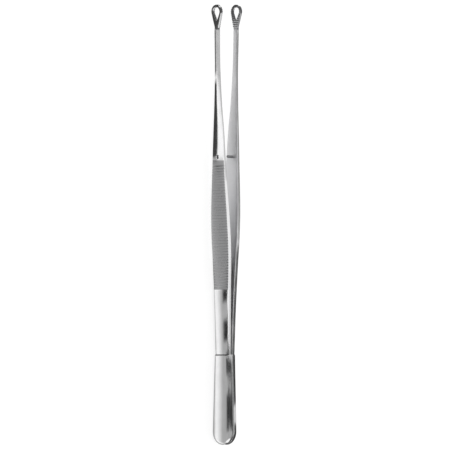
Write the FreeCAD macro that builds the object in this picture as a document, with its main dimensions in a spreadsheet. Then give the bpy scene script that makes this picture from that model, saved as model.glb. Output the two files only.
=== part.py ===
import FreeCAD, Part
import math
import os

import Sketcher
from FreeCAD import Placement, Rotation, Vector

# Thumb-type ring forceps with a guide pin, in millimetres.
# It lies on the side edges of its arms. +X runs from the butt to the ring jaws, the arms close along Y,
# and +Z runs across their width. The hole arm is on the +Y side and the pin arm on the -Y side.
# Both arms are one forging: a round butt half, a flat spring, a serrated grip, a half-round shank and an open ring jaw.
# The forging is modelled once, as the hole arm, with X measured from the butt's end and Z from the middle of its width.

# Each station of the forging: its distance from the station before it, the width, the thickness in the middle, how much
# lower the outer face is at its edges, and the space from the inner face to the middle plane.
STATIONS = {
    "heel": {"run": 0.0, "width": 9.8, "thickness": 2.55, "crown": 0.40, "gap": 0.2},
    "bow": {"run": 16.8, "width": 10.1, "thickness": 2.75, "crown": 0.40, "gap": 0.5},
    "grip_end": {"run": 17.0, "width": 10.8, "thickness": 2.80, "crown": 0.40, "gap": 1.0},
    "grip_low": {"run": 15.0, "width": 11.9, "thickness": 2.75, "crown": 0.40, "gap": 1.5},
    "grip_middle": {"run": 11.0, "width": 12.4, "thickness": 2.73, "crown": 0.40, "gap": 2.15},
    "grip_high": {"run": 12.0, "width": 11.9, "thickness": 2.65, "crown": 0.38, "gap": 2.9},
    "waist": {"run": 19.0, "width": 9.7, "thickness": 2.35, "crown": 0.36, "gap": 3.84},
    "boss": {"run": 12.5, "width": 8.3, "thickness": 1.95, "crown": 0.45, "gap": 4.4},
    "neck": {"run": 12.5, "width": 7.0, "thickness": 1.95, "crown": 0.70, "gap": 4.8},
    "shank": {"run": 17.0, "width": 4.3, "thickness": 2.10, "crown": 0.80, "gap": 5.4},
    "wrist": {"run": 23.0, "width": 2.6, "thickness": 2.15, "crown": 1.00, "gap": 6.0},
    "jaw_root": {"run": 14.0, "width": 2.8, "thickness": 2.00, "crown": 0.95, "gap": 6.4},
    "web": {"run": 3.5, "width": 2.0, "thickness": 1.00, "crown": 0.40, "gap": 6.6},
}

DIMENSIONS = {
    # Butt: two halves welded face to face
    "butt_length": 47.2,
    "butt_end_width": 14.0,
    "butt_top_width": 11.2,
    "butt_half_thickness": 3.0,
    "butt_crown": 0.75,
    "butt_edge_bevel": 0.45,
    # Where the arm bends, from the butt's end: the arm's elastic line has its tangents meet there
    "flex_distance": 70.0,
    # Ring jaw
    "jaw_length": 13.0,
    "jaw_tail_width": 2.5,
    "jaw_thickness": 1.4,
    "jaw_root_gap": 6.2,
    "jaw_closed_gap": 0.05,
    "ring_width": 7.3,
    "ring_wall": 1.35,
    "ring_hole_length": 6.8,
    "ring_hole_nose_radius": 0.6,
    "ring_edge_bevel": 0.35,
    "jaw_tooth_pitch": 1.0,
    "jaw_tooth_width": 0.7,
    "jaw_tooth_depth": 0.25,
    "jaw_tooth_margin": 0.6,
    # Grip serrations
    "grip_pitch": 1.45,
    "grip_groove_width": 0.9,
    "grip_groove_depth": 0.32,
    "grip_margin": 1.0,
    "grip_top_run": 9.0,
    # Guide pin and its hole
    "pin_diameter": 1.4,
    "pin_reach": 3.7,
    "pin_tip_bevel": 0.35,
    "guide_hole_diameter": 1.9,
}

# How far a cutting tool reaches past the metal that it cuts
OVERCUT = 1.0

# How near two lengths are that count as the same
CLOSE = 0.001

doc = FreeCAD.newDocument("RingForceps")


def make_sheet():
    """The sheet of driving dimensions, one named cell each."""
    sheet = doc.addObject("Spreadsheet::Sheet", "Sizes")
    values = dict(DIMENSIONS)
    for station, sizes in STATIONS.items():
        for word, value in sizes.items():
            values[f"{station}_{word}"] = value
    for row, (name, value) in enumerate(values.items(), start=1):
        sheet.set(f"A{row}", name)
        sheet.set(f"B{row}", str(value))
        sheet.setAlias(f"B{row}", name)
    doc.recompute()
    return sheet


sheet = make_sheet()


def size(name):
    """A driving dimension as an expression."""
    return f"Sizes.{name}"


def distance_to(station):
    """The expression for a station's distance from the butt's end."""
    names = list(STATIONS)
    runs = [size(f"{name}_run") for name in names[: names.index(station) + 1]]
    return " + ".join([size("butt_length")] + runs)


# The jaw faces meet flat when the arms are squeezed, so at rest each is open by the angle that closes it.
JAW_ANGLE = (
    f"atan(({size('jaw_root_gap')} - {size('jaw_closed_gap')})"
    f" / ({distance_to('jaw_root')} - {size('flex_distance')}))"
)
OVERALL_LENGTH = f"{distance_to('jaw_root')} + {size('jaw_length')} * cos({JAW_ANGLE})"


def value_of(expression):
    """The number that an expression gives now."""
    result = sheet.evalExpression(expression)
    return float(getattr(result, "Value", result))


def make_body(name):
    return doc.addObject("PartDesign::Body", name)


def origin_plane(body, role):
    return next(plane for plane in body.Origin.OriginFeatures if plane.Role == role)


def make_sketch(body, name, role):
    """A sketch on one of the body's own origin planes."""
    sketch = body.newObject("Sketcher::SketchObject", name)
    sketch.AttachmentSupport = [(origin_plane(body, role), "")]
    sketch.MapMode = "FlatFace"
    return sketch


def offset_sketch(sketch, turn_axis=None, **offsets):
    """Moves a sketch off its plane by expressions along x, y or z, and turns it by angle about an axis of the plane."""
    angle = offsets.pop("angle", None)
    if turn_axis is not None:
        sketch.AttachmentOffset = Placement(Vector(), Rotation(turn_axis, value_of(angle)))
        sketch.setExpression("AttachmentOffset.Rotation.Angle", angle)
    for axis, expression in offsets.items():
        sketch.setExpression(f"AttachmentOffset.Base.{axis}", expression)


def bind(sketch, constraint, expression):
    """Adds a dimension to a sketch and binds it to an expression."""
    index = sketch.addConstraint(constraint)
    sketch.setExpression(f"Constraints[{index}]", expression)


# Points of a sketch element, and the sketch's own x axis, which starts at its origin, as Sketcher counts them
START, END, CENTRE = 1, 2, 3
ORIGIN_X = -1
UPRIGHT = Vector(0, 0, 1)


def crown_radius(width, crown):
    """The expression for the radius of a crown that drops so much over half the width."""
    return f"(({width}) ^ 2 / 4 + ({crown}) ^ 2) / (2 * ({crown}))"


def crowned_section(sketch, width, thickness, crown, gap):
    """A flat inner face, two edges and a crowned outer face. Inside the sketch, x is the way out and y the width."""
    half = value_of(width) / 2
    inner = value_of(gap)
    edge = inner + value_of(thickness) - value_of(crown)
    radius = value_of(crown_radius(width, crown))
    centre = inner + value_of(thickness) - radius
    spread = math.atan2(half, edge - centre)
    circle = Part.Circle(Vector(centre, 0, 0), UPRIGHT, radius)
    face = sketch.addGeometry(Part.LineSegment(Vector(inner, half, 0), Vector(inner, -half, 0)))
    low = sketch.addGeometry(Part.LineSegment(Vector(inner, -half, 0), Vector(edge, -half, 0)))
    arc = sketch.addGeometry(Part.ArcOfCircle(circle, -spread, spread))
    high = sketch.addGeometry(Part.LineSegment(Vector(edge, half, 0), Vector(inner, half, 0)))
    for first, second in ((face, low), (low, arc), (arc, high), (high, face)):
        sketch.addConstraint(Sketcher.Constraint("Coincident", first, END, second, START))
    sketch.addConstraint(Sketcher.Constraint("Symmetric", face, START, face, END, ORIGIN_X))
    sketch.addConstraint(Sketcher.Constraint("Horizontal", low))
    sketch.addConstraint(Sketcher.Constraint("Horizontal", high))
    sketch.addConstraint(Sketcher.Constraint("Equal", low, high))
    bind(sketch, Sketcher.Constraint("DistanceX", ORIGIN_X, START, face, START, inner), gap)
    bind(sketch, Sketcher.Constraint("DistanceY", face, END, face, START, 2 * half), width)
    bind(sketch, Sketcher.Constraint("DistanceX", low, START, low, END, edge - inner), f"{thickness} - ({crown})")
    bind(sketch, Sketcher.Constraint("Radius", arc, radius), crown_radius(width, crown))


def two_arc_outline(sketch, tip_centre, tip_radius, tail_centre, tail_radius):
    """A teardrop: a large arc at the tip and a small one at the tail, joined by tangent lines."""
    tip_x, tip_r = value_of(tip_centre), value_of(tip_radius)
    tail_x, tail_r = value_of(tail_centre), value_of(tail_radius)
    lean = math.asin((tip_r - tail_r) / (tip_x - tail_x))
    turn = math.pi / 2 + lean
    up = Vector(math.cos(turn), math.sin(turn), 0)
    down = Vector(up.x, -up.y, 0)
    tip, tail = Vector(tip_x, 0, 0), Vector(tail_x, 0, 0)
    tip_circle = Part.Circle(tip, UPRIGHT, tip_r)
    tail_circle = Part.Circle(tail, UPRIGHT, tail_r)
    tip_arc = sketch.addGeometry(Part.ArcOfCircle(tip_circle, -turn, turn))
    upper = sketch.addGeometry(Part.LineSegment(tip + up * tip_r, tail + up * tail_r))
    tail_arc = sketch.addGeometry(Part.ArcOfCircle(tail_circle, turn, 2 * math.pi - turn))
    lower = sketch.addGeometry(Part.LineSegment(tail + down * tail_r, tip + down * tip_r))
    for first, second in ((tip_arc, upper), (upper, tail_arc), (tail_arc, lower), (lower, tip_arc)):
        sketch.addConstraint(Sketcher.Constraint("Tangent", first, END, second, START))
    for arc, centre, centre_text, radius, radius_text in (
        (tip_arc, tip_x, tip_centre, tip_r, tip_radius),
        (tail_arc, tail_x, tail_centre, tail_r, tail_radius),
    ):
        sketch.addConstraint(Sketcher.Constraint("PointOnObject", arc, CENTRE, ORIGIN_X))
        bind(sketch, Sketcher.Constraint("DistanceX", ORIGIN_X, START, arc, CENTRE, centre), centre_text)
        bind(sketch, Sketcher.Constraint("Radius", arc, radius), radius_text)


def tapered_outline(sketch, end_centre, end_radius, flat_width):
    """A round end, and two tangent sides that run back to a flat end on the sketch's y axis."""
    centre_x, radius = value_of(end_centre), value_of(end_radius)
    half = value_of(flat_width) / 2
    reach = math.hypot(centre_x, half)
    turn = math.pi / 2 + math.asin(radius / reach) - math.atan2(half, centre_x)
    touch = Vector(centre_x + radius * math.cos(turn), radius * math.sin(turn), 0)
    below = Vector(touch.x, -touch.y, 0)
    high, low = Vector(0, half, 0), Vector(0, -half, 0)
    circle = Part.Circle(Vector(centre_x, 0, 0), UPRIGHT, radius)
    arc = sketch.addGeometry(Part.ArcOfCircle(circle, -turn, turn))
    upper = sketch.addGeometry(Part.LineSegment(touch, high))
    flat = sketch.addGeometry(Part.LineSegment(high, low))
    lower = sketch.addGeometry(Part.LineSegment(low, below))
    sketch.addConstraint(Sketcher.Constraint("Tangent", arc, END, upper, START))
    sketch.addConstraint(Sketcher.Constraint("Coincident", upper, END, flat, START))
    sketch.addConstraint(Sketcher.Constraint("Coincident", flat, END, lower, START))
    sketch.addConstraint(Sketcher.Constraint("Tangent", lower, END, arc, START))
    sketch.addConstraint(Sketcher.Constraint("Symmetric", flat, START, flat, END, ORIGIN_X, START))
    sketch.addConstraint(Sketcher.Constraint("Vertical", flat))
    sketch.addConstraint(Sketcher.Constraint("PointOnObject", arc, CENTRE, ORIGIN_X))
    bind(sketch, Sketcher.Constraint("DistanceX", ORIGIN_X, START, arc, CENTRE, centre_x), end_centre)
    bind(sketch, Sketcher.Constraint("Radius", arc, radius), end_radius)
    bind(sketch, Sketcher.Constraint("Distance", flat, 2 * half), flat_width)


def pad(body, name, sketch, length, reverse=False):
    feature = body.newObject("PartDesign::Pad", name)
    feature.Profile = sketch
    feature.Reversed = reverse
    feature.setExpression("Length", length)
    return feature


def pocket(body, name, sketch, length):
    """Cuts a sketch out of the body, by the same length both ways."""
    feature = body.newObject("PartDesign::Pocket", name)
    feature.Profile = sketch
    feature.SideType = "Symmetric"
    feature.setExpression("Length", length)
    return feature


def loft(body, name, sections, ruled=False):
    """Fills the way through sections, smoothly or in straight runs."""
    feature = body.newObject("PartDesign::AdditiveLoft", name)
    feature.Profile = sections[0]
    feature.Sections = sections[1:]
    feature.Ruled = ruled
    return feature


def bevel_edges(body, name, base, picked, width):
    """Bevels the edges of a feature that a test picks."""
    doc.recompute()
    names = [f"Edge{number}" for number, edge in enumerate(base.Shape.Edges, start=1) if picked(edge)]
    feature = body.newObject("PartDesign::Chamfer", name)
    feature.Base = (base, names)
    feature.setExpression("Size", width)
    return feature


def make_ring_jaw(body):
    """The open ring jaw: a teardrop plate with a teardrop window, bevelled on its outer side, toothed on its inner face."""
    plane = {"x": distance_to("jaw_root"), "z": f"-{size('jaw_root_gap')}", "angle": JAW_ANGLE}
    ring_radius = f"{size('ring_width')} / 2"
    ring_centre = f"{size('jaw_length')} - {ring_radius}"
    window_radius = f"{ring_radius} - {size('ring_wall')}"

    outline = make_sketch(body, "JawOutline", "XZ_Plane")
    offset_sketch(outline, turn_axis=Vector(0, 1, 0), **plane)
    tapered_outline(outline, ring_centre, ring_radius, size("jaw_tail_width"))
    plate = pad(body, "JawPlate", outline, size("jaw_thickness"), reverse=True)

    window = make_sketch(body, "JawWindow", "XZ_Plane")
    offset_sketch(window, turn_axis=Vector(0, 1, 0), **plane)
    nose_centre = (
        f"{ring_centre} - ({size('ring_hole_length')} - ({window_radius}) - {size('ring_hole_nose_radius')})"
    )
    two_arc_outline(window, ring_centre, window_radius, nose_centre, size("ring_hole_nose_radius"))
    opened = pocket(body, "JawOpening", window, f"2 * ({size('jaw_thickness')} + {OVERCUT})")

    # The outer edges of plate and window are bevelled, but not the short one at the tail
    angle = math.radians(value_of(JAW_ANGLE))
    outward = Vector(-math.sin(angle), math.cos(angle), 0)
    root = Vector(value_of(distance_to("jaw_root")), value_of(size("jaw_root_gap")), 0)
    outer_height = value_of(size("jaw_thickness"))

    def on_outer_face(edge):
        heights = [(vertex.Point - root).dot(outward) for vertex in edge.Vertexes]
        middle = edge.valueAt((edge.FirstParameter + edge.LastParameter) / 2)
        at_tail = (middle - root).Length < outer_height + CLOSE
        return all(abs(height - outer_height) < CLOSE for height in heights) and not at_tail

    return bevel_edges(body, "JawBevel", opened, on_outer_face, size("ring_edge_bevel"))


def make_jaw_teeth(body):
    """Cross grooves on the jaw's inner face, from its root to its tip."""
    pitch = size("jaw_tooth_pitch")
    width = size("jaw_tooth_width")
    depth = size("jaw_tooth_depth")
    margin = size("jaw_tooth_margin")
    groove = make_sketch(body, "JawToothProfile", "XY_Plane")
    offset_sketch(
        groove,
        turn_axis=UPRIGHT,
        x=distance_to("jaw_root"),
        y=size("jaw_root_gap"),
        angle=JAW_ANGLE,
    )
    start, reach, floor = value_of(margin), value_of(width), value_of(depth)
    corners = [Vector(start, 0, 0), Vector(start + reach, 0, 0), Vector(start + reach / 2, floor, 0)]
    sides = [
        groove.addGeometry(Part.LineSegment(corners[number], corners[(number + 1) % 3]))
        for number in range(3)
    ]
    for number in range(3):
        groove.addConstraint(
            Sketcher.Constraint("Coincident", sides[number], END, sides[(number + 1) % 3], START)
        )
    groove.addConstraint(Sketcher.Constraint("PointOnObject", sides[0], START, ORIGIN_X))
    groove.addConstraint(Sketcher.Constraint("PointOnObject", sides[0], END, ORIGIN_X))
    groove.addConstraint(Sketcher.Constraint("Equal", sides[1], sides[2]))
    bind(groove, Sketcher.Constraint("DistanceX", ORIGIN_X, START, sides[0], START, start), margin)
    bind(groove, Sketcher.Constraint("DistanceX", sides[0], START, sides[0], END, reach), width)
    bind(groove, Sketcher.Constraint("DistanceY", ORIGIN_X, START, sides[1], END, floor), depth)
    first = pocket(body, "JawTooth", groove, f"{size('ring_width')} + {2 * OVERCUT}")

    teeth = body.newObject("PartDesign::LinearPattern", "JawTeeth")
    teeth.Originals = [first]
    teeth.Direction = (groove, ["H_Axis"])
    teeth.Mode = "Spacing"
    teeth.setExpression("Offset", pitch)
    teeth.setExpression("Occurrences", f"floor(({size('jaw_length')} - {margin}) / {pitch})")
    body.Tip = teeth
    return teeth


def make_forging():
    """The arm without its butt, as forged and ground: shank, grip and spring lofted through the stations, and the jaw."""
    body = make_body("Forging")
    make_ring_jaw(body)
    sections = []
    for station in STATIONS:
        section = make_sketch(body, f"Section_{station}", "YZ_Plane")
        offset_sketch(section, z=distance_to(station))
        words = ("width", "thickness", "crown", "gap")
        crowned_section(section, *(size(f"{station}_{word}") for word in words))
        sections.append(section)
    doc.recompute()
    loft(body, "Bar", sections[:-1])
    loft(body, "Web", sections[-2:], ruled=True)
    doc.recompute()
    make_jaw_teeth(body)
    doc.recompute()
    return body


def make_butt_half():
    """Half of the round butt: a tapered plate with a round end and a crowned outer side, bevelled all round."""
    body = make_body("ButtHalf")
    outline = make_sketch(body, "ButtOutline", "XZ_Plane")
    offset_sketch(outline, turn_axis=UPRIGHT, x=size("butt_length"), angle="180")
    end_radius = f"{size('butt_end_width')} / 2"
    tapered_outline(outline, f"{size('butt_length')} - {end_radius}", end_radius, size("butt_top_width"))
    pad(body, "ButtPlate", outline, size("butt_half_thickness"), reverse=True)

    # The crown is cut by a large arc across the width, which reaches past both sides
    crown = make_sketch(body, "ButtCrownProfile", "YZ_Plane")
    width, thickness = size("butt_end_width"), size("butt_half_thickness")
    radius_text = crown_radius(width, size("butt_crown"))
    radius, crest = value_of(radius_text), value_of(thickness)
    centre = crest - radius
    half = value_of(width) / 2 + OVERCUT
    spread = math.asin(half / radius)
    rim, top = centre + radius * math.cos(spread), crest + OVERCUT
    circle = Part.Circle(Vector(centre, 0, 0), UPRIGHT, radius)
    arc = crown.addGeometry(Part.ArcOfCircle(circle, -spread, spread))
    path = [Vector(rim, half, 0), Vector(top, half, 0), Vector(top, -half, 0), Vector(rim, -half, 0)]
    lines = [crown.addGeometry(Part.LineSegment(path[number], path[number + 1])) for number in range(3)]
    chain = [arc] + lines
    for number in range(4):
        crown.addConstraint(
            Sketcher.Constraint("Coincident", chain[number], END, chain[(number + 1) % 4], START)
        )
    crown.addConstraint(Sketcher.Constraint("Horizontal", lines[0]))
    crown.addConstraint(Sketcher.Constraint("Symmetric", arc, START, arc, END, ORIGIN_X))
    crown.addConstraint(Sketcher.Constraint("Symmetric", lines[1], START, lines[1], END, ORIGIN_X))
    bind(
        crown,
        Sketcher.Constraint("DistanceX", arc, CENTRE, ORIGIN_X, START, -centre),
        f"{radius_text} - {thickness}",
    )
    bind(crown, Sketcher.Constraint("Radius", arc, radius), radius_text)
    bind(crown, Sketcher.Constraint("Distance", lines[1], 2 * half), f"{width} + {2 * OVERCUT}")
    bind(crown, Sketcher.Constraint("DistanceX", ORIGIN_X, START, lines[1], START, top), f"{thickness} + {OVERCUT}")
    crowned = pocket(body, "ButtCrown", crown, f"2 * ({size('butt_length')} + {OVERCUT})")

    def on_outer_rim(edge):
        return edge.BoundBox.YMin > value_of(thickness) / 2

    bevel_edges(body, "ButtBevel", crowned, on_outer_rim, size("butt_edge_bevel"))
    doc.recompute()
    return body


def outer_face_at(shape, x, across=0.0):
    """The height of the arm's outer face, at a distance from the butt's end and off the middle of its width."""
    reach = shape.BoundBox.YMax + OVERCUT
    probe = Part.makeLine(Vector(x, 0, across), Vector(x, reach, across))
    return probe.common(shape).BoundBox.YMax


def make_grip_cutter(forging):
    """The V grooves across the grip. They are pressed in, so they follow both the bow and the crown of the outer face."""
    shape = forging.Shape
    pitch, half_width = value_of(size("grip_pitch")), value_of(size("grip_groove_width")) / 2
    depth = value_of(size("grip_groove_depth"))
    first = value_of(distance_to("grip_end")) + value_of(size("grip_margin"))
    last = value_of(distance_to("waist")) + value_of(size("grip_top_run"))
    probe = value_of(size("waist_width")) / 3
    reach = value_of(size("grip_middle_width")) / 2 + OVERCUT
    rise = depth / 2
    lip = half_width * (1 + rise / depth)
    grooves = []
    for number in range(int((last - first) / pitch) + 1):
        x = first + number * pitch
        middle = Vector(x, outer_face_at(shape, x), 0)
        along = Vector(pitch, outer_face_at(shape, x + pitch) - middle.y, 0).normalize()
        outward = Vector(-along.y, along.x, 0)
        top = middle + outward * rise
        corners = [top - along * lip, top + along * lip, middle - outward * depth]
        drop = middle.y - outer_face_at(shape, x, probe)
        radius = (probe**2 + drop**2) / (2 * drop)
        centre = middle - outward * radius
        turn = math.degrees(math.asin(reach / radius))
        profile = Part.Face(Part.makePolygon(corners + corners[:1]))
        profile.rotate(centre, along, -turn)
        grooves.append(profile.revolve(centre, along, 2 * turn))
    cutter = doc.addObject("Part::Feature", "GripCutter")
    cutter.Shape = Part.makeCompound(grooves)
    return cutter


def make_guide_pin():
    """The guide pin: peened flush outside the pin arm, with a bevelled tip that points at the hole."""
    body = make_body("PinBlank")
    circle_sketch = make_sketch(body, "PinCircle", "XZ_Plane")
    offset_sketch(
        circle_sketch,
        turn_axis=Vector(0, 1, 0),
        x=f"{distance_to('boss')} + {size('pin_reach')} * sin({JAW_ANGLE})",
        z=f"-({size('boss_gap')} - {size('pin_reach')} * cos({JAW_ANGLE}))",
        angle=JAW_ANGLE,
    )
    radius = value_of(size("pin_diameter")) / 2
    circle = circle_sketch.addGeometry(Part.Circle(Vector(), UPRIGHT, radius))
    circle_sketch.addConstraint(Sketcher.Constraint("Coincident", circle, CENTRE, ORIGIN_X, START))
    bind(circle_sketch, Sketcher.Constraint("Diameter", circle, 2 * radius), size("pin_diameter"))
    rod = pad(body, "PinRod", circle_sketch, f"{size('pin_reach')} + {size('boss_thickness')}", reverse=True)
    doc.recompute()
    tip_level = min(vertex.Y for vertex in rod.Shape.Vertexes) + CLOSE

    def at_tip(edge):
        return len(edge.Vertexes) == 1 and edge.Vertexes[0].Y < tip_level

    bevel_edges(body, "PinTip", rod, at_tip, size("pin_tip_bevel"))
    doc.recompute()
    return body


def make_bore(name, diameter):
    """A drill through the arm at the boss, square to the arm's face as it stands when the jaws meet."""
    drill = doc.addObject("Part::Cylinder", name)
    drill.setExpression("Radius", f"{diameter} / 2")
    drill.setExpression("Height", f"{size('boss_thickness')} + {2 * OVERCUT}")
    angle = value_of(JAW_ANGLE)
    drill.Placement = Placement(Vector(), Rotation(UPRIGHT, angle) * Rotation(Vector(1, 0, 0), -90))
    drill.setExpression("Placement.Base.x", f"{distance_to('boss')} + {OVERCUT} * sin({JAW_ANGLE})")
    drill.setExpression("Placement.Base.y", f"{size('boss_gap')} - {OVERCUT} * cos({JAW_ANGLE})")
    return drill


def boolean(kind, name, base, tool):
    """A cut or a common of two objects."""
    result = doc.addObject(f"Part::{kind}", name)
    result.Base = base
    result.Tool = tool
    return result


def reflected(name, source, normal):
    """The piece's mirror image, square to a normal. Each piece is symmetric across its width, so that one is a copy."""
    result = doc.addObject("Part::Mirroring", name)
    result.Source = source
    result.Normal = normal
    return result


def spring_zone():
    """A box round the flat spring, from the butt's step to the end of the grip."""
    box = doc.addObject("Part::Box", "SpringZone")
    box.setExpression("Length", f"{distance_to('grip_end')} - {size('butt_length')} + {OVERCUT}")
    box.setExpression("Width", f"{size('jaw_root_gap')} + {size('butt_end_width')}")
    box.setExpression("Height", f"2 * {size('butt_end_width')}")
    box.setExpression("Placement.Base.x", f"{size('butt_length')} - {OVERCUT}")
    box.setExpression("Placement.Base.z", f"-{size('butt_end_width')}")
    return box


def place(piece, label):
    """Names a finished piece, and moves it so that the origin is under the middle of the forceps."""
    piece.Label = label
    piece.setExpression("Placement.Base.x", f"-({OVERALL_LENGTH}) / 2")
    piece.setExpression("Placement.Base.z", f"{size('butt_end_width')} / 2")
    return piece


def build():
    """Every piece of the forceps, named and in place."""
    forging = make_forging()
    zone = spring_zone()
    doc.recompute()
    spring = boolean("Common", "SpringPart", forging, zone)
    arm = boolean("Cut", "ArmPart", forging, zone)
    doc.recompute()
    serrated = boolean("Cut", "SerratedArm", arm, make_grip_cutter(forging))
    butt = make_butt_half()
    pin = make_guide_pin()

    hole_arm = boolean("Cut", "HoleArm", serrated, make_bore("GuideHole", size("guide_hole_diameter")))
    plain_arm = boolean("Cut", "ArmWithPinSeat", serrated, make_bore("PinSeat", size("pin_diameter")))
    doc.recompute()
    other_side = Vector(0, 1, 0)
    pieces = [
        place(hole_arm, "hole_arm"),
        place(reflected("PinArm", plain_arm, other_side), "pin_arm"),
        place(reflected("GuidePin", pin, other_side), "guide_pin"),
        place(reflected("HoleArmSpring", spring, UPRIGHT), "hole_arm_spring"),
        place(reflected("PinArmSpring", spring, other_side), "pin_arm_spring"),
        place(reflected("HoleArmButt", butt, UPRIGHT), "hole_arm_butt"),
        place(reflected("PinArmButt", butt, other_side), "pin_arm_butt"),
    ]
    doc.recompute()
    return pieces


def check_document(pieces):
    """Stops unless every object and every piece is sound."""
    for item in doc.Objects:
        if "Invalid" in item.State or "Error" in item.State:
            raise RuntimeError(f"{item.Label} failed: {item.State}")
    for piece in pieces:
        if piece.Shape.isNull() or not piece.Shape.isValid() or len(piece.Shape.Solids) != 1:
            raise RuntimeError(f"{piece.Label} is not one sound solid")


pieces = build()
check_document(pieces)
os.makedirs("parts", exist_ok=True)
for piece in pieces:
    piece.Shape.exportStep(f"parts/{piece.Label}.step")
    box = piece.Shape.BoundBox
    print(f"{piece.Label}: {piece.Shape.Volume:.1f} mm3, x {box.XMin:.2f} to {box.XMax:.2f},"
          f" y {box.YMin:.2f} to {box.YMax:.2f}, z {box.ZMin:.2f} to {box.ZMax:.2f}")
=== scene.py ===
import math

import bmesh
import bpy
import numpy as np
from mathutils import Matrix, Vector


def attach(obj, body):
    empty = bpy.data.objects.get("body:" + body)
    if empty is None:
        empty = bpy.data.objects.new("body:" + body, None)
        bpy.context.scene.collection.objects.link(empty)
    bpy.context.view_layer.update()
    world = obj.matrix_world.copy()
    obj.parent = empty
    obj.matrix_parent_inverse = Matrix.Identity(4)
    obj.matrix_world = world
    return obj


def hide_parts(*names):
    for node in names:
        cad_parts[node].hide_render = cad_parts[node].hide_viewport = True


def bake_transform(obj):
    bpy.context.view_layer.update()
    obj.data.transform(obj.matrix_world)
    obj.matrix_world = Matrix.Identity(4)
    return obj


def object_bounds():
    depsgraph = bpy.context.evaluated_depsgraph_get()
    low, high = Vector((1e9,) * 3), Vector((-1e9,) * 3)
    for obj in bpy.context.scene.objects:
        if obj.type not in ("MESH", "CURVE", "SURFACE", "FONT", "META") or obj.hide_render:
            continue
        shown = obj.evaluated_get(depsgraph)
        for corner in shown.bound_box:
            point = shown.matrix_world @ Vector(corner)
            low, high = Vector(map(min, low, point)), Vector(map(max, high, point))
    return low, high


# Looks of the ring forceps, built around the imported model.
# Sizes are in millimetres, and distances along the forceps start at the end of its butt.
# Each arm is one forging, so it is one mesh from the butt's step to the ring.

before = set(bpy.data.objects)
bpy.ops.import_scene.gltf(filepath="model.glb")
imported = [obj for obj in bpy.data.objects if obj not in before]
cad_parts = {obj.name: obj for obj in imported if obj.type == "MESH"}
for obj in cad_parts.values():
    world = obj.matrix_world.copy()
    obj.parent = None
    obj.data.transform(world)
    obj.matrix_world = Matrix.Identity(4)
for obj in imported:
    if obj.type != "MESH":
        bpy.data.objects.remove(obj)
cad_low, cad_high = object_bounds()

MM = 0.001
BUTT_END_X = cad_low.x
MIDDLE_Z = (cad_low.z + cad_high.z) / 2

# Stations of an arm: distance from the butt's end, width, thickness, crown of the outer face,
# gap from the inner face to the middle plane, and how far the outer edges are rounded
STATIONS = np.array([
    (47.2, 9.8, 2.55, 0.40, 0.20, 0.60),
    (64.0, 10.1, 2.75, 0.40, 0.50, 0.70),
    (81.0, 10.8, 2.80, 0.40, 1.00, 0.80),
    (96.0, 11.9, 2.75, 0.40, 1.50, 0.80),
    (107.0, 12.4, 2.73, 0.40, 2.15, 0.80),
    (119.0, 11.9, 2.65, 0.38, 2.90, 0.80),
    (138.0, 9.7, 2.35, 0.36, 3.84, 0.70),
    (150.5, 8.3, 1.95, 0.45, 4.40, 0.40),
    (163.0, 7.0, 1.95, 0.70, 4.80, 0.30),
    (180.0, 4.3, 2.10, 0.80, 5.40, 0.25),
    (203.0, 2.6, 2.15, 1.00, 6.00, 0.20),
    (217.0, 2.8, 2.00, 0.95, 6.40, 0.20),
    (220.5, 2.0, 1.00, 0.40, 6.60, 0.15),
])
FLEX_DISTANCE = 70.0
INNER_EDGE_RADIUS = 0.15
SIDE_MARGIN = 0.05
SHOULDER_LIMIT = 0.6

# Butt: two halves welded face to face
BUTT_LENGTH = 47.2
BUTT_END_WIDTH = 14.0
BUTT_TOP_WIDTH = 11.2
BUTT_HALF_THICKNESS = 3.0
BUTT_CROWN = 0.45
BUTT_RIM = 1.8
BUTT_SEAM_CHAMFER = 0.12
BUTT_LIP_SHARE = 0.5

# Grip serrations
GRIP_START = 82.0
GRIP_END = 147.0
GRIP_PITCH = 1.45
GROOVE_HALF_WIDTH = 0.45
GROOVE_DEPTH = 0.32
GROOVE_LIP = 0.06
GRIP_MARGIN = 1.0
GRIP_RUN_OUT = 1.6

# Guide pin and its hole
BOSS_DISTANCE = 150.5
PIN_DIAMETER = 1.4
PIN_REACH = 3.7
PIN_TIP_RADIUS = 0.4
HOLE_DIAMETER = 1.9
HOLE_COUNTERSINK = 0.2
PEEN_DEPTH = 0.02
PEEN_BEVEL = 0.05

# Ring jaw
JAW_ROOT = 217.0
JAW_ROOT_GAP = 6.2
JAW_CLOSED_GAP = 0.05
JAW_LENGTH = 13.0
JAW_TAIL_WIDTH = 3.2
JAW_THICKNESS = 1.4
RING_WIDTH = 7.3
RING_WALL = 1.35
WINDOW_LENGTH = 6.8
WINDOW_NOSE_RADIUS = 0.6
RING_EDGE_RADIUS = 0.45
TOOTH_PITCH = 1.0
TOOTH_DEPTH = 0.25
TOOTH_MARGIN = 0.6
TOOTH_WIDTH = 0.7
JAW_ANGLE = math.atan((JAW_ROOT_GAP - JAW_CLOSED_GAP) / (JAW_ROOT - FLEX_DISTANCE))

# How finely curves are drawn, and which edges stay sharp
INNER_EDGE_STEPS = 2
OUTER_EDGE_STEPS = 5
INNER_FACE_STEPS = 6
OUTER_FACE_STEPS = 20
SPRING_ROWS = 34
SHANK_ROWS = 70
RING_POINTS = 110
RING_EDGE_STEPS = 5
PIN_TIP_STEPS = 5
BUTT_RIM_STEPS = 6
BUTT_ARC_POINTS = 30
BUTT_SIDE_POINTS = 24
BUTT_FACE_STEPS = 12
MERGE_DISTANCE = 0.002 * MM
SHARP_ANGLE = math.radians(26)

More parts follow.
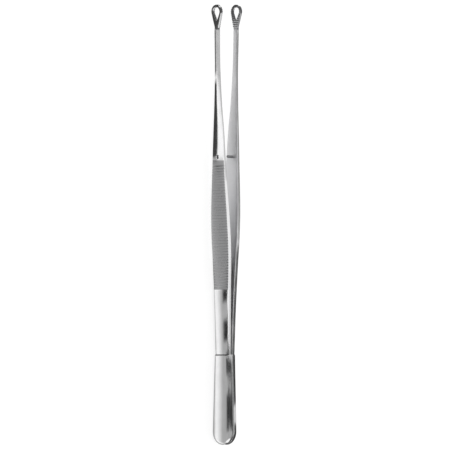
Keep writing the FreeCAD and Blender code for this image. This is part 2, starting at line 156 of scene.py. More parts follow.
# The photograph's view: along the forceps' side, from 45 degrees above, with the tips at the top
IMAGE_HEIGHT_MM = 235.6
VIEW_ELEVATION = 45.0
CAMERA_ROLL = math.radians(0.30)
CAMERA_DISTANCE = 600.0
VIEW_CENTRE_X = -0.4
VIEW_CENTRE_RIGHT = -0.35

# Light: the sky that steel sees, from low behind the pin arm to low behind the hole arm,
# and the fill for the floor. Cards stand on a tube round the forceps, or nearer to it by NEAR_LIFT.
SKY_LEVELS = [(0.0, 0.10), (0.08, 0.18), (0.146, 0.65), (0.30, 1.0)]
FILL_LEVEL = 0.9
CARD_RADIUS = 80.0
CARD_COLUMNS = 9
NEAR_LIFT = 50.0
FLOOR_HALF = 1500.0
FLOOR_GLOW = 0.75


def point(distance, outward, across, side):
    """A point in the frame from millimetres: along the forceps, out from the middle plane, and across."""
    return Vector((BUTT_END_X + distance * MM, side * outward * MM, MIDDLE_Z + across * MM))


def steady_curve(column, at):
    """A smooth curve through the stations that doesn't overshoot them."""
    knots, values = STATIONS[:, 0], STATIONS[:, column]
    steps = np.diff(knots)
    slopes = np.diff(values) / steps
    tangents = np.concatenate([slopes[:1], np.zeros(len(slopes) - 1), slopes[-1:]])
    for i in range(1, len(slopes)):
        if slopes[i - 1] * slopes[i] > 0:
            before, after = 2 * steps[i] + steps[i - 1], steps[i] + 2 * steps[i - 1]
            tangents[i] = (before + after) / (before / slopes[i - 1] + after / slopes[i])
    at = np.asarray(at, float)
    k = np.clip(np.searchsorted(knots, at, side="right") - 1, 0, len(steps) - 1)
    t = (at - knots[k]) / steps[k]
    return (
        (2 * t**3 - 3 * t**2 + 1) * values[k]
        + (t**3 - 2 * t**2 + t) * steps[k] * tangents[k]
        + (3 * t**2 - 2 * t**3) * values[k + 1]
        + (t**3 - t**2) * steps[k] * tangents[k + 1]
    )


def rounded_corner(before, corner, after, steps):
    """Points of a curve that cuts a corner, from one point to another."""
    shares = [number / steps for number in range(steps + 1)]
    return [before * (1 - s) ** 2 + corner * 2 * s * (1 - s) + after * s**2 for s in shares]


def bar_section(distance, cut):
    """The closed outline of the bar there, as (outward, across) points.
    A groove's cut follows the crown of the outer face."""
    width, thickness, crown, gap, edge = (
        float(steady_curve(column, distance)) for column in range(1, STATIONS.shape[1])
    )
    half = width / 2
    radius = (half**2 + crown**2) / (2 * crown)
    centre = gap + thickness - radius

    def outer(across):
        return Vector((centre + math.sqrt(radius**2 - across**2), across))

    def grooved(skin):
        return [Vector((min(p.x, outer(p.y).x - cut), p.y)) for p in skin]

    inner = INNER_EDGE_RADIUS
    shoulder = min(edge, (thickness - crown) * SHOULDER_LIMIT)
    side_top = outer(half).x
    upper = [Vector((gap, half - inner)), Vector((gap, half)), Vector((gap + inner, half))]
    crest = [Vector((side_top - shoulder, half)), Vector((side_top, half)), outer(half - edge)]
    inner_places = np.linspace(inner - half, half - inner, INNER_FACE_STEPS + 1)[1:-1]
    outer_places = np.linspace(half - edge, edge - half, OUTER_FACE_STEPS + 1)[1:-1]
    points = [Vector((gap, across)) for across in inner_places]
    points += rounded_corner(*upper, INNER_EDGE_STEPS)
    points += [upper[2] + Vector((SIDE_MARGIN, 0)), crest[0] - Vector((SIDE_MARGIN, 0))]
    shoulder_curve = rounded_corner(*crest, OUTER_EDGE_STEPS)
    points += grooved(shoulder_curve)
    points += grooved([outer(across) for across in outer_places])
    points += grooved([Vector((p.x, -p.y)) for p in reversed(shoulder_curve)])
    points += [Vector((crest[0].x - SIDE_MARGIN, -half)), Vector((upper[2].x + SIDE_MARGIN, -half))]
    points += [Vector((p.x, -p.y)) for p in reversed(rounded_corner(*upper, INNER_EDGE_STEPS))]
    return points


def bar_rows():
    """Distances of the bar's rows, with how deep a groove is there: five rows to a groove."""
    first, last = STATIONS[0, 0], STATIONS[-1, 0]
    rows = [(distance, 0.0) for distance in np.linspace(first, GRIP_START - GRIP_MARGIN, SPRING_ROWS)]
    count = int((GRIP_END - GRIP_START) / GRIP_PITCH) + 1
    near, far = GROOVE_HALF_WIDTH - GROOVE_LIP, GROOVE_HALF_WIDTH + GROOVE_LIP
    lip_cut = GROOVE_DEPTH * 2 * GROOVE_LIP / far
    for number in range(count):
        middle = GRIP_START + number * GRIP_PITCH
        rows += [(middle - far, 0.0), (middle - near, lip_cut), (middle, GROOVE_DEPTH)]
        rows += [(middle + near, lip_cut), (middle + far, 0.0)]
    rows += [(distance, 0.0) for distance in np.linspace(GRIP_END + GRIP_RUN_OUT, last, SHANK_ROWS)]
    return rows


def mesh_object(name, vertices, faces):
    mesh = bpy.data.meshes.new(name)
    mesh.from_pydata([tuple(v) for v in vertices], [], faces)
    mesh.update()
    piece = bpy.data.objects.new(name, mesh)
    bpy.context.scene.collection.objects.link(piece)
    return piece


def tube_faces(rows, count, closed_rows=False):
    """Quads between rows of points that are closed loops."""
    last = rows if closed_rows else rows - 1
    return [
        (
            row * count + k,
            row * count + (k + 1) % count,
            (row + 1) % rows * count + (k + 1) % count,
            (row + 1) % rows * count + k,
        )
        for row in range(last)
        for k in range(count)
    ]


def make_bar(side):
    """Spring, grip and shank as one skin through the stations."""
    vertices = []
    rows = bar_rows()
    for distance, cut in rows:
        section = bar_section(distance, cut)
        vertices += [point(distance, p.x, p.y, side) for p in section]
    count = len(vertices) // len(rows)
    faces = tube_faces(len(rows), count)
    faces.append(tuple(range(count)))
    faces.append(tuple(reversed(range(len(vertices) - count, len(vertices)))))
    return mesh_object("bar", vertices, faces)


def teardrop(tip_centre, tip_radius, tail_centre, tail_radius, count):
    """Points round a large arc at the tip and a small one at the tail, joined by tangent lines.
    Half of the points go to the tip and a fifth to the tail."""
    lean = math.asin((tip_radius - tail_radius) / (tip_centre - tail_centre))
    turn = math.pi / 2 + lean
    tip_count, tail_count = int(count * 0.5), int(count * 0.2)
    line_count = (count - tip_count - tail_count) // 2
    points = []
    for angle in np.linspace(-turn, turn, tip_count):
        points.append(Vector((tip_centre + tip_radius * math.cos(angle), tip_radius * math.sin(angle))))
    tail_start = Vector((tail_centre + tail_radius * math.cos(turn), tail_radius * math.sin(turn)))
    points += [points[-1].lerp(tail_start, share) for share in np.linspace(0, 1, line_count + 2)[1:-1]]
    for angle in np.linspace(turn, 2 * math.pi - turn, tail_count):
        points.append(Vector((tail_centre + tail_radius * math.cos(angle), tail_radius * math.sin(angle))))
    points += [points[-1].lerp(points[0], share) for share in np.linspace(0, 1, line_count + 2)[1:-1]]
    return points


def jaw_point(along, outward, across, side):
    """A point from the jaw's own measures: along it from its root, out from its inner face, and across."""
    distance = JAW_ROOT + along * math.cos(JAW_ANGLE) - outward * math.sin(JAW_ANGLE)
    height = JAW_ROOT_GAP + along * math.sin(JAW_ANGLE) + outward * math.cos(JAW_ANGLE)
    return point(distance, height, across, side)


def make_ring(side):
    """The ring jaw: a teardrop with a teardrop window, its outer edges rounded."""
    ring_radius = RING_WIDTH / 2
    ring_centre = JAW_LENGTH - ring_radius
    window_radius = ring_radius - RING_WALL
    nose_centre = ring_centre - (WINDOW_LENGTH - window_radius - WINDOW_NOSE_RADIUS)
    tail_radius = JAW_TAIL_WIDTH / 2
    layers = [(0.0, 0.0)]
    for number in range(RING_EDGE_STEPS + 1):
        angle = math.pi / 2 * number / RING_EDGE_STEPS
        inset = RING_EDGE_RADIUS * (1 - math.cos(angle))
        layers.append((inset, JAW_THICKNESS - RING_EDGE_RADIUS * (1 - math.sin(angle))))
    loops = []
    for inset, height in layers:
        outline = teardrop(ring_centre, ring_radius - inset, tail_radius, tail_radius - inset, RING_POINTS)
        loops.append([jaw_point(p.x, height, p.y, side) for p in outline])
    for inset, height in reversed(layers):
        nose_radius = WINDOW_NOSE_RADIUS + inset
        window = teardrop(ring_centre, window_radius + inset, nose_centre, nose_radius, RING_POINTS)
        loops.append([jaw_point(p.x, height, p.y, side) for p in window])
    vertices = [p for loop in loops for p in loop]
    return mesh_object("ring", vertices, tube_faces(len(loops), len(loops[0]), closed_rows=True))


def make_prism(name, corners, place, half_reach, side):
    """A three-cornered bar across the width. place turns (along, outward, across) into a point."""
    vertices = [place(*corner, across, side) for across in (-half_reach, half_reach) for corner in corners]
    faces = [(0, 1, 2), (5, 4, 3), (0, 3, 4, 1), (1, 4, 5, 2), (2, 5, 3, 0)]
    return mesh_object(name, vertices, faces)


def make_teeth_cutter(side):
    """The V grooves across the jaw's inner face."""
    overcut = 0.1
    slope = overcut * TOOTH_WIDTH / 2 / TOOTH_DEPTH
    prisms = []
    for number in range(int((JAW_LENGTH - TOOTH_MARGIN) / TOOTH_PITCH)):
        start = TOOTH_MARGIN + number * TOOTH_PITCH
        corners = [
            (start - slope, -overcut),
            (start + TOOTH_WIDTH + slope, -overcut),
            (start + TOOTH_WIDTH / 2, TOOTH_DEPTH),
        ]
        prisms.append(make_prism("tooth", corners, jaw_point, RING_WIDTH, side))
    return joined(prisms, "teeth")


def boss_point(along, outward, side):
    """A point from the boss: along the arm, and out on the line of pin and hole. That line is square
    to the arm as it stands when the jaws meet."""
    gap = float(steady_curve(4, BOSS_DISTANCE))
    distance = BOSS_DISTANCE - outward * math.sin(JAW_ANGLE) + along * math.cos(JAW_ANGLE)
    return point(distance, gap + outward * math.cos(JAW_ANGLE) + along * math.sin(JAW_ANGLE), 0, side)


def turned(name, profile, side, count=48):
    """A shape turned about the line of pin and hole, from (radius, outward) points."""
    along = (boss_point(1, 0, side) - boss_point(0, 0, side)).normalized()
    vertices = []
    for radius, outward in profile:
        centre = boss_point(0, outward, side)
        for number in range(count):
            angle = 2 * math.pi * number / count
            spoke = along * math.cos(angle) + Vector((0, 0, side)) * math.sin(angle)
            vertices.append(centre + spoke * radius * MM)
    faces = tube_faces(len(profile), count)
    faces.append(tuple(range(count)))
    faces.append(tuple(reversed(range(len(vertices) - count, len(vertices)))))
    return mesh_object(name, vertices, faces)


def make_hole_cutter(side):
    """The guide hole, a little countersunk on both faces."""
    thickness = float(steady_curve(2, BOSS_DISTANCE))
    radius, sink, past = HOLE_DIAMETER / 2, HOLE_COUNTERSINK, 1.0
    profile = [
        (radius + sink + past, -past),
        (radius, sink),
        (radius, thickness - sink),
        (radius + sink + past, thickness + past),
    ]
    return turned("hole", profile, side)


def make_guide_pin():
    """The guide pin: peened flush outside the pin arm, with a rounded tip that points at the hole."""
    thickness = float(steady_curve(2, BOSS_DISTANCE))
    radius, tip = PIN_DIAMETER / 2, PIN_TIP_RADIUS
    profile = []
    for number in range(PIN_TIP_STEPS + 1):
        angle = math.pi / 2 * number / PIN_TIP_STEPS
        profile.append((radius - tip * (1 - math.sin(angle)), -PIN_REACH + tip * (1 - math.cos(angle))))
    profile += [(radius, -PEEN_DEPTH), (radius, thickness - PEEN_BEVEL)]
    profile.append((radius - PEEN_BEVEL, thickness - PEEN_DEPTH))
    return turned("guide_pin_steel", profile, side=-1)


def joined(pieces, name):
    with bpy.context.temp_override(active_object=pieces[0], selected_editable_objects=pieces):
        bpy.ops.object.join()
    pieces[0].name = name
    return pieces[0]


def apply_boolean(piece, tool, operation):
    """Joins or cuts with another mesh, which is then removed."""
    modifier = piece.modifiers.new(operation, "BOOLEAN")
    modifier.operation = operation
    modifier.solver = "EXACT"
    modifier.use_self = operation == "DIFFERENCE"
    modifier.object = tool
    depsgraph = bpy.context.evaluated_depsgraph_get()
    mesh = bpy.data.meshes.new_from_object(piece.evaluated_get(depsgraph))
    piece.modifiers.clear()
    piece.data = mesh
    bpy.data.objects.remove(tool)


def tidy_mesh(piece):
    """Merges doubled points, points every face outward and marks the sharp edges."""
    work = bmesh.new()
    work.from_mesh(piece.data)
    bmesh.ops.remove_doubles(work, verts=work.verts, dist=MERGE_DISTANCE)
    bmesh.ops.dissolve_degenerate(work, edges=work.edges, dist=MERGE_DISTANCE)
    bmesh.ops.recalc_face_normals(work, faces=work.faces)
    for face in work.faces:
        face.smooth = True
    work.to_mesh(piece.data)
    work.free()
    piece.data.set_sharp_from_angle(angle=SHARP_ANGLE)


def make_arm(name, side):
    """One arm from the butt's step to the ring, with its serrations and teeth."""
    arm = make_bar(side)
    ring = make_ring(side)
    for piece in (arm, ring):
        tidy_mesh(piece)
    apply_boolean(arm, ring, "UNION")
    teeth = make_teeth_cutter(side)
    tidy_mesh(teeth)
    apply_boolean(arm, teeth, "DIFFERENCE")
    if side > 0:
        hole = make_hole_cutter(side)
        tidy_mesh(hole)
        apply_boolean(arm, hole, "DIFFERENCE")
    tidy_mesh(arm)
    arm.name = name
    return arm


def butt_outline(inset):
    """Half the butt's outline, from its round end to its step, as (distance, across) points."""
    radius = BUTT_END_WIDTH / 2
    reach = Vector((BUTT_LENGTH - radius, BUTT_TOP_WIDTH / 2))
    slope = math.asin(radius / reach.length) - math.atan2(reach.y, reach.x)
    turn = math.pi / 2 + slope
    arc = radius - inset
    points = []
    for angle in np.linspace(0, turn, BUTT_ARC_POINTS):
        points.append(Vector((radius - arc * math.cos(angle), arc * math.sin(angle))))
    end = Vector((BUTT_LENGTH - inset * BUTT_LIP_SHARE, 0))
    end.y = points[-1].y - math.tan(slope) * (end.x - points[-1].x)
    points += [points[-1].lerp(end, share) for share in np.linspace(0, 1, BUTT_SIDE_POINTS)[1:]]
    return points


def butt_height(across):
    """How high the butt's crowned outer face stands over the seam."""
    return BUTT_HALF_THICKNESS - BUTT_CROWN * (2 * across / BUTT_END_WIDTH) ** 2


def butt_loops():
    """Closed loops of (distance, outward, across) points, from the seam up the side and over the rim."""
    seam = BUTT_SEAM_CHAMFER
    layers = [(seam, 0.0, 0.0), (0.0, seam, 0.0)]
    for number in range(BUTT_RIM_STEPS + 1):
        angle = math.pi / 2 * number / BUTT_RIM_STEPS
        layers.append((BUTT_RIM * (1 - math.cos(angle)), -BUTT_RIM * (1 - math.sin(angle)), 1.0))
    rim = butt_outline(BUTT_RIM)
    loops = []
    for inset, height, from_top in layers:
        loop = [
            (outline_point.x, height + from_top * butt_height(rim_point.y), outline_point.y)
            for outline_point, rim_point in zip(butt_outline(inset), rim)
        ]
        loop += [(x, level, -across) for x, level, across in reversed(loop[1:])]
        loops.append(loop)
    return loops


def make_butt_half(name, side):
    """Half of the round butt: a tapered plate with a round end and a crowned, rounded outer side."""
    loops = butt_loops()
    count = len(loops[0])
    vertices = [point(*p, side) for loop in loops for p in loop]
    faces = tube_faces(len(loops), count)
    faces.append(tuple(range(count)))

    top = range((len(loops) - 1) * count, len(loops) * count)
    previous = [top[0]] * (BUTT_FACE_STEPS + 1)
    for number in range(1, (count + 1) // 2):
        x, _, across = loops[-1][number]
        row = [top[number]]
        for step in range(1, BUTT_FACE_STEPS):
            place = across * (1 - 2 * step / BUTT_FACE_STEPS)
            row.append(len(vertices))
            vertices.append(point(x, butt_height(place), place, side))
        row.append(top[-number])
        for step in range(BUTT_FACE_STEPS):
            corners = [previous[step], previous[step + 1], row[step + 1], row[step]]
            faces.append(tuple(dict.fromkeys(corners)))
        previous = row
    faces.append(tuple(previous))
    piece = mesh_object(name, vertices, faces)
    tidy_mesh(piece)
    return piece


# Materials

CLOUD_SCALE = 160.0
CLOUD_RANGE = (0.7, 1.3)
POLISH_RANGE = (0.75, 1.3)
TINT_RANGE = (0.93, 1.05)
BUMP_STRENGTH = 0.25

# How squarely a face looks inward, outward or along to get that side's material
ARM_FACING = 0.5
STEP_FACING = 0.35


def steel(name, colour, roughness, lines, line_depth):
    """Ground and polished steel, with cloudy polish and fine lines: how many there are to a metre
    along, out and across, and how deep they are."""
    material = bpy.data.materials.new(name)
    material.use_nodes = True
    nodes, links = material.node_tree.nodes, material.node_tree.links
    shader = nodes["Principled BSDF"]
    shader.inputs["Metallic"].default_value = 1.0
    place = nodes.new("ShaderNodeTexCoord")

    stretch = nodes.new("ShaderNodeMapping")
    stretch.inputs["Scale"].default_value = lines
    links.new(place.outputs["Object"], stretch.inputs["Vector"])
    grain = nodes.new("ShaderNodeTexNoise")
    grain.inputs["Scale"].default_value = 1.0
    grain.inputs["Detail"].default_value = 6.0
    links.new(stretch.outputs["Vector"], grain.inputs["Vector"])

    clouds = nodes.new("ShaderNodeTexNoise")
    clouds.inputs["Scale"].default_value = CLOUD_SCALE
    clouds.inputs["Detail"].default_value = 3.0
    links.new(place.outputs["Object"], clouds.inputs["Vector"])

    blend = nodes.new("ShaderNodeMath")
    blend.operation = "ADD"
    links.new(grain.outputs["Fac"], blend.inputs[0])
    links.new(clouds.outputs["Fac"], blend.inputs[1])
    polish = nodes.new("ShaderNodeMapRange")
    polish.inputs["From Min"].default_value, polish.inputs["From Max"].default_value = CLOUD_RANGE
    polish.inputs["To Min"].default_value = roughness * POLISH_RANGE[0]
    polish.inputs["To Max"].default_value = roughness * POLISH_RANGE[1]
    links.new(blend.outputs["Value"], polish.inputs["Value"])
    links.new(polish.outputs["Result"], shader.inputs["Roughness"])

    tint = nodes.new("ShaderNodeMapRange")
    tint.data_type = "FLOAT_VECTOR"
    value, from_min, from_max, to_min, to_max = tint.inputs[6:11]
    from_min.default_value = [CLOUD_RANGE[0]] * 3
    from_max.default_value = [CLOUD_RANGE[1]] * 3
    to_min.default_value = [c * TINT_RANGE[0] for c in colour]
    to_max.default_value = [min(1.0, c * TINT_RANGE[1]) for c in colour]
    links.new(blend.outputs["Value"], value)
    links.new(tint.outputs["Vector"], shader.inputs["Base Color"])

    bump = nodes.new("ShaderNodeBump")
    bump.inputs["Strength"].default_value = BUMP_STRENGTH
    bump.inputs["Distance"].default_value = line_depth * MM
    links.new(grain.outputs["Fac"], bump.inputs["Height"])
    links.new(bump.outputs["Normal"], shader.inputs["Normal"])
    return material


POLISHED = steel("polished_steel", (0.88, 0.88, 0.885), 0.16, lines=(60, 2500, 2500), line_depth=0.008)
SATIN = steel("satin_inner_steel", (0.69, 0.69, 0.70), 0.42, lines=(2200, 300, 300), line_depth=0.012)
# Darker ground steel: the grip's serrated finish, and painted shade on the butt's step
GROUND_AND_STEP_SHADE = steel("serrated_steel_and_step_shade", (0.42, 0.42, 0.425), 0.30, lines=(900, 400, 400), line_depth=0.012)
# The guide pin: turned lines and roughness are its finish, and its dark colour is painted shade in the gap
# between the arms
TURNED_SHADED_PIN = steel("turned_pin_steel_painted_shade", (0.30, 0.30, 0.305), 0.25, lines=(3000, 300, 3000), line_depth=0.01)
# The guide hole's bore: rough drilled steel, with a dark colour that is painted shade inside the hole
SHADED_BORE = steel("drilled_steel_painted_shade", (0.20, 0.20, 0.205), 0.5, lines=(600, 600, 600), line_depth=0.01)


def dress_faces(piece, materials, chosen):
    """Gives each face the material that is chosen for it."""
    for material in materials:
        piece.data.materials.append(material)
    for face in piece.data.polygons:
        face.material_index = materials.index(chosen(face))


def dress_arm(arm, side):
    """Satin inner faces, a ground grip, a drilled hole whose bore is rough and painted dark as shade in the
    recess, and polish everywhere else.
    """
    boss = boss_point(0, 0, side)
    axis = (boss_point(0, 1, side) - boss).normalized()

    def chosen(face):
        from_boss = face.center - boss
        spoke = from_boss - axis * from_boss.dot(axis)
        distance = (face.center.x - BUTT_END_X) / MM
        inward = -side * face.normal.y
        if spoke.length < HOLE_DIAMETER / 2 * MM and abs(face.normal.dot(axis)) < ARM_FACING:
            return SHADED_BORE
        if inward > ARM_FACING:
            return SATIN
        if inward < -ARM_FACING and GRIP_START - GRIP_MARGIN < distance < GRIP_END + GRIP_MARGIN:
            return GROUND_AND_STEP_SHADE
        return POLISHED

    dress_faces(arm, (POLISHED, SATIN, GROUND_AND_STEP_SHADE, SHADED_BORE), chosen)


def dress_butt(half):
    """Polish all over but for the step, whose darker steel is painted shade where the butt meets the spring.
    """

    def chosen(face):
        # The step faces get the darker steel as painted shade
        return GROUND_AND_STEP_SHADE if face.normal.x > STEP_FACING else POLISHED

    dress_faces(half, (POLISHED, GROUND_AND_STEP_SHADE), chosen)


# Stage


def floor_material():
    """A white floor that keeps a soft shadow, and that metal shows as it is."""
    material = bpy.data.materials.new("white_floor")
    material.use_nodes = True
    nodes, links = material.node_tree.nodes, material.node_tree.links
    shader = nodes["Principled BSDF"]
    shader.inputs["Base Color"].default_value = (0.98, 0.98, 0.98, 1)
    shader.inputs["Roughness"].default_value = 0.9
    shader.inputs["Specular IOR Level"].default_value = 0.0
    glow = nodes.new("ShaderNodeEmission")
    glow.inputs["Strength"].default_value = 1.0
    path = nodes.new("ShaderNodeLightPath")
    seen = nodes.new("ShaderNodeMath")
    seen.operation = "MAXIMUM"
    links.new(path.outputs["Is Camera Ray"], seen.inputs[0])
    links.new(path.outputs["Is Glossy Ray"], seen.inputs[1])
    share = nodes.new("ShaderNodeMath")
    share.operation = "MULTIPLY"
    share.inputs[1].default_value = FLOOR_GLOW
    links.new(seen.outputs["Value"], share.inputs[0])
    mix = nodes.new("ShaderNodeMixShader")
    links.new(share.outputs["Value"], mix.inputs["Fac"])
    links.new(shader.outputs["BSDF"], mix.inputs[1])
    links.new(glow.outputs["Emission"], mix.inputs[2])
    links.new(mix.outputs["Shader"], nodes["Material Output"].inputs["Surface"])
    return material


def make_floor():
    half = FLOOR_HALF * MM
    corners = [(-half, -half, 0), (half, -half, 0), (half, half, 0), (-half, half, 0)]
    floor = mesh_object("floor", corners, [(0, 1, 2, 3)])
    floor.data.materials.append(floor_material())


def floor_place(distance, outward, lift):
    """A point just above the floor."""
    return Vector((BUTT_END_X + distance * MM, outward * MM, lift * MM))


def sky_place(distance, angle, lift):
    """A point of a wide tube round the forceps, at an angle above the floor on the hole arm's side."""
    turn = math.radians(angle)
    reach = (CARD_RADIUS - lift) * MM
    return Vector((BUTT_END_X + distance * MM, reach * math.cos(turn), MIDDLE_Z + reach * math.sin(turn)))


def card_material(level):
    """An evenly lit card whose soft edges come from its own points."""
    material = bpy.data.materials.new("card")
    material.use_nodes = True
    nodes, links = material.node_tree.nodes, material.node_tree.links
    nodes.remove(nodes["Principled BSDF"])
    glow = nodes.new("ShaderNodeEmission")
    glow.inputs["Strength"].default_value = level
    clear = nodes.new("ShaderNodeBsdfTransparent")
    cover = nodes.new("ShaderNodeAttribute")
    cover.attribute_name = "cover"
    mix = nodes.new("ShaderNodeMixShader")
    links.new(cover.outputs["Fac"], mix.inputs["Fac"])
    links.new(clear.outputs["BSDF"], mix.inputs[1])
    links.new(glow.outputs["Emission"], mix.inputs[2])
    links.new(mix.outputs["Shader"], nodes["Material Output"].inputs["Surface"])
    return material


def make_card(name, place, rows, level, lift, soft_along=2.0, soft_across=2.0):
    """A studio card that only the steel sees. It draws the lines and blots of polished metal.
    Each row is a distance along the forceps with the card's two edges there."""
    first, last = rows[0], rows[-1]
    rows = [(first[0] - soft_along, *first[1:]), *rows, (last[0] + soft_along, *last[1:])]
    vertices, cover = [], []
    for number, (distance, low, high) in enumerate(rows):
        spread = [low - soft_across, *np.linspace(low, high, CARD_COLUMNS), high + soft_across]
        for column, value in enumerate(spread):
            vertices.append(place(distance, value, lift))
            cover.append(float(0 < number < len(rows) - 1 and 0 < column < len(spread) - 1))
    width = len(spread)
    faces = [
        (row * width + k, row * width + k + 1, (row + 1) * width + k + 1, (row + 1) * width + k)
        for row in range(len(rows) - 1)
        for k in range(width - 1)
    ]
    card = mesh_object(name, vertices, faces)
    card.data.attributes.new("cover", "FLOAT", "POINT").data.foreach_set("value", cover)
    card.data.materials.append(card_material(level))
    card.visible_camera = False
    card.visible_diffuse = False
    card.visible_shadow = False


def make_cards():
    """The cards, with their rows in millimetres along and across the floor, or in degrees round the sky."""
    # The hole arm's outer faces see the floor before them
    handle = [(-90, 12, 90), (80, 12, 90)]
    make_card("card_before_handle", floor_place, handle, level=0.43, lift=0.2, soft_across=5.5)
    grip = [(84, 9, 90), (148, 9, 90)]
    make_card("card_before_grip", floor_place, grip, level=0.6, lift=0.2, soft_across=5)

    # The lower edges and the gap between the arms see the floor under them, where these dark cards are
    # painted shadow of the forceps
    butt = [(-60, -6, 3.7), (47, -6, 3.7)]
    make_card("card_shadow_under_butt", floor_place, butt, level=0.4, lift=0.3, soft_across=1.3)
    edge = [(50, 1, 3.7), (94, 1, 3.7)]
    make_card("card_shadow_under_edge", floor_place, edge, level=0.4, lift=0.3, soft_along=4, soft_across=1)
    gap = [(50, -6, 1), (94, -6, 1)]
    make_card("card_shadow_under_gap", floor_place, gap, level=0.12, lift=0.5, soft_along=4, soft_across=1)

    # The shank's crowned outer face is dark near the boss and greyer towards the tips
    near_shank = [(151, 5, 11.5), (157, 5, 13.5), (163, 5, 14.5), (180, 5, 20), (188, 5, 28)]
    make_card("card_near_shank", floor_place, near_shank, level=0.05, lift=0.4, soft_along=4)
    far_shank = [(195, 4, 45), (216, 4, 45)]
    make_card("card_far_shank_floor", floor_place, far_shank, level=0.18, lift=0.4, soft_along=4)

    # The rings are dark all round
    floor_under_rings = [(218.5, -15, 90), (262, -15, 90)]
    make_card("card_under_rings", floor_place, floor_under_rings, level=0.06, lift=0.6, soft_along=1)
    round_rings = [(218.5, -10, 190), (270, -10, 190)]
    make_card("card_round_rings", sky_place, round_rings, level=0.09, lift=NEAR_LIFT, soft_along=1)

    # The butt's rounded rim and its seam
    make_card("card_before_butt", sky_place, [(-90, -3, 127), (46, -3, 127)], level=0.4, lift=0.2)
    make_card("card_seam", sky_place, [(-90, 112, 128), (47, 112, 128)], level=0.12, lift=3)

    # The shank's crown and its upper side
    shank_crown = [(193, -3, 110), (216, -3, 110)]
    make_card("card_before_shank", sky_place, shank_crown, level=0.5, lift=0.2, soft_along=5)
    shank_side = [(182, 108, 127), (216, 108, 127)]
    make_card("card_shade_shank", sky_place, shank_side, level=0.55, lift=NEAR_LIFT, soft_along=9)

    # The hole arm's upper side is light, and the pin arm's upper side and outer edge are darker
    light_side = [(52, 114, 125.3), (140, 114, 125.3)]
    make_card("card_light_side", sky_place, light_side, level=1.0, lift=NEAR_LIFT, soft_across=1.5)
    beyond = NEAR_LIFT + 0.2
    far_handle = [(-40, 127.8, 190), (100, 127.8, 190)]
    make_card("card_far_handle", sky_place, far_handle, level=0.04, lift=beyond, soft_along=6, soft_across=1)
    far_patch = [(13, 127, 175), (21, 127, 175)]
    make_card("card_far_patch", sky_place, far_patch, level=0.7, lift=NEAR_LIFT + 1, soft_across=1)
    far_floor = [(-60, -90, -9), (100, -90, -9)]
    make_card("card_far_floor", floor_place, far_floor, level=0.04, lift=0.2, soft_along=6)
    far_shank_sky = [(108, 130, 190), (214, 130, 190)]
    make_card("card_far_shank", sky_place, far_shank_sky, level=0.3, lift=beyond, soft_across=1)

    # Dark blots along the outer face's upper part: their start, their end and the edge on floor or sky
    floor_blots = ((9, 25, 19), (38.5, 46, 19), (55, 63, 14.5), (75.5, 80.5, 14.5))
    for number, (start, end, near) in enumerate(floor_blots):
        rows = [(start, near, 90), (end, near, 90)]
        make_card(f"card_dark_{number}", floor_place, rows, level=0.02, lift=0.6, soft_along=3)
    sky_blots = ((13, 29.5, 124), (40, 49, 116), (55, 63, 45), (75.5, 80.5, 45))
    for number, (start, end, top) in enumerate(sky_blots):
        rows = [(start, -3, top), (end, -3, top)]
        make_card(f"card_dark_low_{number}", sky_place, rows, level=0.02, lift=4, soft_along=3)


def make_world():
    """White to the eye. The steel sees it white in front and above, and darker low behind the pin arm."""
    world = bpy.data.worlds.new("studio")
    bpy.context.scene.world = world
    world.use_nodes = True
    nodes, links = world.node_tree.nodes, world.node_tree.links
    background = nodes["Background"]
    background.inputs["Color"].default_value = (1, 1, 1, 1)
    place = nodes.new("ShaderNodeTexCoord")
    split = nodes.new("ShaderNodeSeparateXYZ")
    links.new(place.outputs["Generated"], split.inputs["Vector"])
    share = nodes.new("ShaderNodeMapRange")
    share.inputs["From Min"].default_value = -1.0
    links.new(split.outputs["Y"], share.inputs["Value"])
    ramp = nodes.new("ShaderNodeValToRGB")
    links.new(share.outputs["Result"], ramp.inputs["Fac"])
    ramp.color_ramp.interpolation = "EASE"
    stops = ramp.color_ramp.elements
    stops[0].position, stops[1].position = SKY_LEVELS[0][0], SKY_LEVELS[-1][0]
    for position, level in SKY_LEVELS[1:-1]:
        stops.new(position)
    for stop, (position, level) in zip(stops, SKY_LEVELS):
        stop.color = (level, level, level, 1)
    path = nodes.new("ShaderNodeLightPath")
    metal = nodes.new("ShaderNodeMix")
    metal.inputs["A"].default_value = FILL_LEVEL
    links.new(path.outputs["Is Glossy Ray"], metal.inputs["Factor"])
    links.new(ramp.outputs["Color"], metal.inputs["B"])
    eye = nodes.new("ShaderNodeMix")
    eye.inputs["B"].default_value = 1.0
    links.new(path.outputs["Is Camera Ray"], eye.inputs["Factor"])
    links.new(metal.outputs["Result"], eye.inputs["A"])
    links.new(eye.outputs["Result"], background.inputs["Strength"])


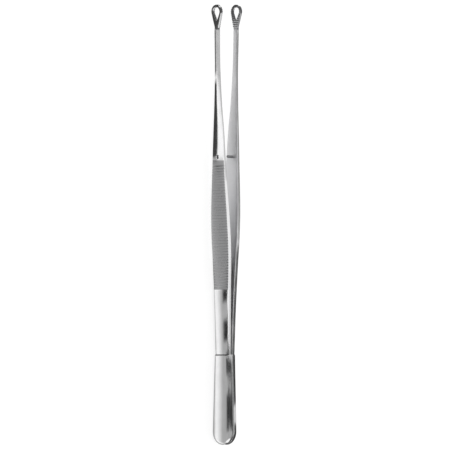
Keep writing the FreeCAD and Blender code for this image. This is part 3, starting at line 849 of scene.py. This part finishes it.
def make_light(name, place, aim, size, power):
    """A soft lamp that lights the floor. Steel reflects the cards and the sky instead."""
    lamp = bpy.data.lights.new(name, "AREA")
    lamp.size = size * MM
    lamp.energy = power
    lamp_object = bpy.data.objects.new(name, lamp)
    bpy.context.scene.collection.objects.link(lamp_object)
    lamp_object.location = Vector(place) * MM
    lamp_object.visible_glossy = False
    lamp_object.rotation_euler = (Vector(aim) - Vector(place)).to_track_quat("-Z", "Y").to_euler()


def make_camera():
    """The photograph's view, with no perspective, the tips up and a touch of lean."""
    elevation = math.radians(VIEW_ELEVATION)
    back = Vector((0, math.cos(elevation), math.sin(elevation)))
    up = Vector((1, 0, 0))
    right = up.cross(back)
    turn = Matrix((right, up, back)).transposed() @ Matrix.Rotation(CAMERA_ROLL, 3, "Z")
    data = bpy.data.cameras.new("camera")
    data.type = "ORTHO"
    data.ortho_scale = IMAGE_HEIGHT_MM * MM
    camera = bpy.data.objects.new("camera", data)
    bpy.context.scene.collection.objects.link(camera)
    centre = Vector((VIEW_CENTRE_X * MM, 0, MIDDLE_Z)) + right * VIEW_CENTRE_RIGHT * MM
    camera.matrix_world = Matrix.Translation(centre + back * CAMERA_DISTANCE * MM) @ turn.to_4x4()
    bpy.context.scene.camera = camera


def dress(piece, slot, *nodes):
    """Hides the nodes that a piece stands for. The piece and the slot are not used."""
    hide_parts(*nodes)


make_world()
make_floor()
make_cards()
make_light("key", place=(100, 500, 700), aim=(0, 0, 0), size=600, power=3.0)
make_light("fill", place=(-200, -500, 600), aim=(0, 0, 0), size=600, power=2.0)
make_camera()

for side, arm_name, body in ((1, "hole_arm", "hole_side"), (-1, "pin_arm", "pin_side")):
    arm = make_arm(arm_name + "_steel", side)
    dress_arm(arm, side)
    dress(arm, "polished_steel", arm_name, arm_name + "_spring")
    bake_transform(arm)
    half = make_butt_half(arm_name + "_butt_steel", side)
    dress_butt(half)
    dress(half, "polished_steel", arm_name + "_butt")
    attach(half, "butt")

pin = make_guide_pin()
tidy_mesh(pin)
# The pin's dark steel is painted shade between the arms
pin.data.materials.append(TURNED_SHADED_PIN)
dress(pin, "pin_steel", "guide_pin")
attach(pin, "pin_side")

bpy.context.scene.view_settings.view_transform = "Standard"
